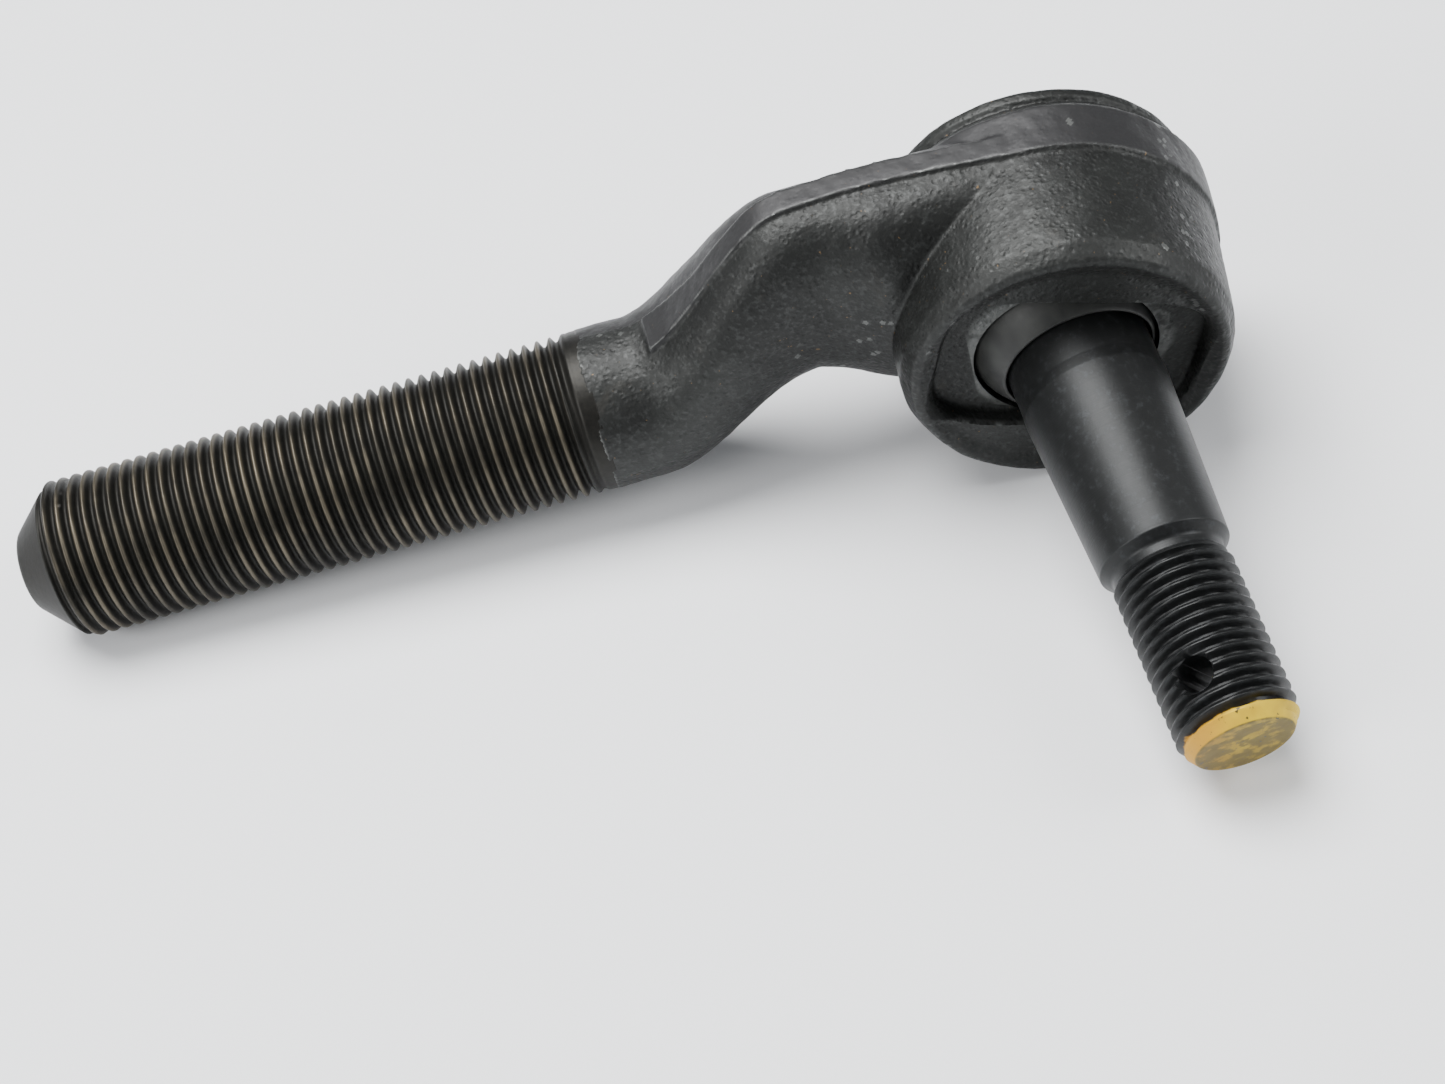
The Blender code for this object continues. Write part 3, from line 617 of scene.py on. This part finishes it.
def buildStud():
    s = stud
    end = s["length"]
    tip = rounded([(0, end, 0), (s["tipRadius"], end, 0.35), (s["threadRadius"], end - s["tipChamfer"], 0.1),
                   (s["threadRadius"], end - s["tipChamfer"] - 0.4, 0)])
    rows = dense(tip, 0.25)
    rows += [(s["threadRadius"], z) for z in threadRows(end - s["tipChamfer"] - 0.4, s["threadStart"],
                                                        s["pitch"], s["perPitch"])]
    shape = [(s["threadRadius"], s["threadStart"], 0), (s["relief"], s["threadStart"] - 0.4, 0.4),
             (s["relief"], s["taperEnd"] + 0.8, 0.6), (s["taperEndRadius"], s["taperEnd"], 0.3),
             (s["taperStartRadius"], s["taperStart"], 1.5), (s["neck"], s["taperStart"] - 1.2, 1.5),
             (s["neck"], s["headTop"], 0.3)]
    rows += dense(rounded(shape), 0.5)
    for i in range(17):
        z = s["headTop"] - (s["headDepth"] + s["headTop"]) * i / 16
        rows.append((sqrt(s["head"] ** 2 - z * z), z))
    rows.append((0, -s["headDepth"]))
    thread = threadBump(s, s["threadRadius"], below=0.1, lead=0.6, run=1.2)
    piece = turned("taperedStud", rows, s["around"], Matrix.Identity(4), bump=thread)
    piece.data.transform(Matrix.Scale(mm, 4))
    bore, flare = s["cotter"], s["cotter"] + 0.75
    profile = [(0, 8), (flare + 1.6, 8), (flare, 6.2), (bore, 5.1), (bore, -5.1), (flare, -6.2),
               (flare + 1.6, -8), (0, -8)]
    hole = turned("cotterCutter", [(r * mm, z * mm) for r, z in profile], 48, Matrix.Identity(4))
    across = Matrix.Rotation(radians(s["cotterTurn"]), 4, "Z") @ Matrix.Rotation(pi / 2, 4, "Y")
    hole.data.transform(Matrix.Translation((0, 0, (end - s["cotterFromTip"]) * mm)) @ across)
    cut(piece, hole)
    creased(piece, 38)
    piece.matrix_world = studFrame
    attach(piece, "stud")
    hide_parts("ball_stud")
    studFinish().give(piece)
    print("stud turned", len(piece.data.vertices))


# The half ball that the neck stands in
halfBall = {"bore": 7.65, "radius": 10.6, "cut": 7.1}


def buildHalfBall():
    h = halfBall
    rows = [(h["bore"], h["cut"] - 0.12)]
    rows.append(((h["bore"] + sqrt(h["radius"] ** 2 - h["cut"] ** 2)) / 2, h["cut"]))
    for i in range(33):
        z = (h["cut"] - 0.1) * (1 - i / 32)
        rows.append((sqrt(h["radius"] ** 2 - z * z), z))
    rows.append((h["bore"], 0))
    scaled = [(r * mm, z * mm) for r, z in rows]
    piece = turned("halfBall", scaled, 96, studFrame, closed=True)
    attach(piece, "bearing")
    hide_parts("half_ball_bearing")
    plainSteel("bearingSteel", (0.010, 0.0105, 0.010), (0.026, 0.027, 0.025), 0.50, 0.35, 300).give(piece)


# The cover and the grease fitting at the back
cover = {"radius": 12.9, "inner": -11.221, "outer": -12.821, "dish": 1.0, "dishRadius": 6.4,
         "ramp": 1.2, "hole": 3.2}


def buildCover():
    c = cover
    ramp = c["dishRadius"] + c["ramp"]
    corners = [(c["hole"], c["inner"] - c["dish"], 0), (c["dishRadius"], c["inner"] - c["dish"], 0.6),
               (ramp, c["inner"], 0.6), (c["radius"], c["inner"], 0.25), (c["radius"], c["outer"], 0.25),
               (ramp, c["outer"], 0.8), (c["dishRadius"], c["outer"] - c["dish"], 0.8),
               (c["hole"], c["outer"] - c["dish"], 0)]
    rows = rounded([(r * mm, z * mm, f * mm) for r, z, f in corners])
    piece = turned("coverPlate", rows, 96, socketFrame, closed=True)
    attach(piece, "body")
    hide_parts("cover_plate")
    plainSteel("coverZinc", (0.20, 0.20, 0.19), (0.36, 0.36, 0.34), 0.42, 0.85, 220).give(piece)


fitting = {"foot": -14.121, "height": 8.6, "hexHeight": 2.8, "hexFlats": 8.0, "neck": 2.5,
           "head": 3.3, "spigot": 2.9, "inner": -11.621, "bore": 1.9, "mouth": 0.8}


def buildFitting():
    g = fitting
    tip = g["foot"] - g["height"]
    hexEnd = g["foot"] - g["hexHeight"]
    corners = [(g["mouth"], g["inner"], 0), (g["spigot"], g["inner"], 0.2),
               (g["spigot"], hexEnd - 0.4, 0.3), (g["neck"], hexEnd - 0.8, 0.5), (g["neck"], tip + 3.6, 0.6),
               (g["head"], tip + 2.9, 0.4), (g["head"], tip + 1.9, 0.6), (g["head"] * 0.55, tip, 0.3),
               (g["mouth"], tip, 0.1), (g["mouth"], tip + 0.6, 0), (g["bore"], tip + 1.7, 0),
               (g["bore"], -12.221, 0), (g["mouth"], -12.221, 0)]
    rows = rounded([(r * mm, z * mm, f * mm) for r, z, f in corners])
    piece = turned("greaseFitting", rows, 72, socketFrame, closed=True)
    corner = g["hexFlats"] / sqrt(3)
    collar = [(g["spigot"] - 0.2, g["foot"]), (corner * 0.93, g["foot"]), (corner, g["foot"] - 0.35),
              (corner, hexEnd + 0.35), (corner * 0.93, hexEnd), (g["spigot"] - 0.2, hexEnd)]

    def flats(r, z, angles):
        if r < g["spigot"] + 0.3:
            return 0
        sector = (angles + pi / 6) % (pi / 3) - pi / 6
        return np.minimum(r, g["hexFlats"] / 2 / np.cos(sector)) - r

    nut = turned("fittingHexagon", collar, 96, Matrix.Identity(4), closed=True, bump=flats)
    nut.data.transform(Matrix.Scale(mm, 4))
    nut.matrix_world = socketFrame
    zinc = plainSteel("fittingZinc", (0.42, 0.40, 0.34), (0.60, 0.57, 0.48), 0.30, 0.9, 400)
    nut.data.shade_flat()
    for part in (piece, nut):
        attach(part, "body")
        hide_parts("grease_fitting")
        zinc.give(part)


# The sealed pieces keep their CAD shapes
def dressHiddenPieces():
    looks = {"pressure_seat": plainSteel("seatSteel", (0.14, 0.14, 0.14), (0.24, 0.24, 0.24), 0.5, 0.8, 260),
             "preload_spring": plainSteel("springSteel", (0.05, 0.05, 0.055), (0.10, 0.10, 0.11),
                                          0.35, 0.9, 500),
             "check_spring": plainSteel("smallSpring", (0.10, 0.10, 0.11), (0.2, 0.2, 0.21), 0.3, 0.9, 900),
             "check_ball": plainSteel("checkBall", (0.3, 0.3, 0.3), (0.45, 0.45, 0.45), 0.2, 0.95, 500)}
    for name, look in looks.items():
        look.give(frame["nodes"][name])


finishForging()
buildShank()
buildStud()
buildHalfBall()
buildCover()
buildFitting()
dressHiddenPieces()
print("pieces built")


# Bench, soft light and the camera
studio = {"world": (0.90, 0.92, 0.95), "worldStrength": 0.38, "floorHalf": 3.0,
          "floorDark": (0.76, 0.77, 0.79), "floorLight": (0.84, 0.85, 0.86)}


def buildFloor():
    size = studio["floorHalf"]
    floor = addMesh("bench", [(-size, -size, 0), (size, -size, 0), (size, size, 0), (-size, size, 0)],
                    [(0, 1, 2, 3)], Matrix.Identity(4), False)
    finish = Finish("benchTop")
    colour = finish.mix(finish.noise(3, 2), studio["floorDark"], studio["floorLight"])
    finish.set(Base_Color=colour, Roughness=0.75)
    finish.give(floor)


def addLight(name, spot, target, size, power, colour=(1, 1, 1)):
    light = bpy.data.lights.new(name, "AREA")
    light.shape = "DISK"
    light.size = size
    light.energy = power
    light.color = colour
    lamp = bpy.data.objects.new(name, light)
    bpy.context.scene.collection.objects.link(lamp)
    lamp.location = spot
    lamp.rotation_euler = (Vector(target) - Vector(spot)).to_track_quat("-Z", "Y").to_euler()


def buildStudio():
    buildFloor()
    world = bpy.data.worlds.new("studio")
    world.use_nodes = True
    background = world.node_tree.nodes["Background"]
    background.inputs["Color"].default_value = (*studio["world"], 1)
    background.inputs["Strength"].default_value = studio["worldStrength"]
    bpy.context.scene.world = world
    addLight("overhead", (-0.10, 0.15, 0.55), (0.02, 0, 0.01), 0.45, 8.6)
    addLight("left", (-0.50, -0.25, 0.35), (0, 0, 0.01), 0.35, 3.0)
    addLight("right", (0.45, -0.10, 0.30), (0.03, 0, 0.01), 0.30, 1.8)


view = {"lens": 59.32, "sensor": 36, "spot": (0.004405, -0.15593, 0.188752),
        "right": (0.9685388, -0.1939339, -0.1559991), "forward": (0.0110046, 0.6596499, -0.7515313)}


def buildCamera():
    camera = bpy.data.cameras.new("camera")
    camera.lens = view["lens"]
    camera.sensor_width = view["sensor"]
    camera.dof.use_dof = False
    eye = bpy.data.objects.new("camera", camera)
    bpy.context.scene.collection.objects.link(eye)
    right = Vector(view["right"]).normalized()
    forward = Vector(view["forward"]).normalized()
    up = right.cross(forward).normalized()
    turn = Matrix((right, up, -forward)).transposed().to_4x4()
    eye.matrix_world = Matrix.Translation(view["spot"]) @ turn
    bpy.context.scene.camera = eye


buildStudio()
buildCamera()


print("scene ready")
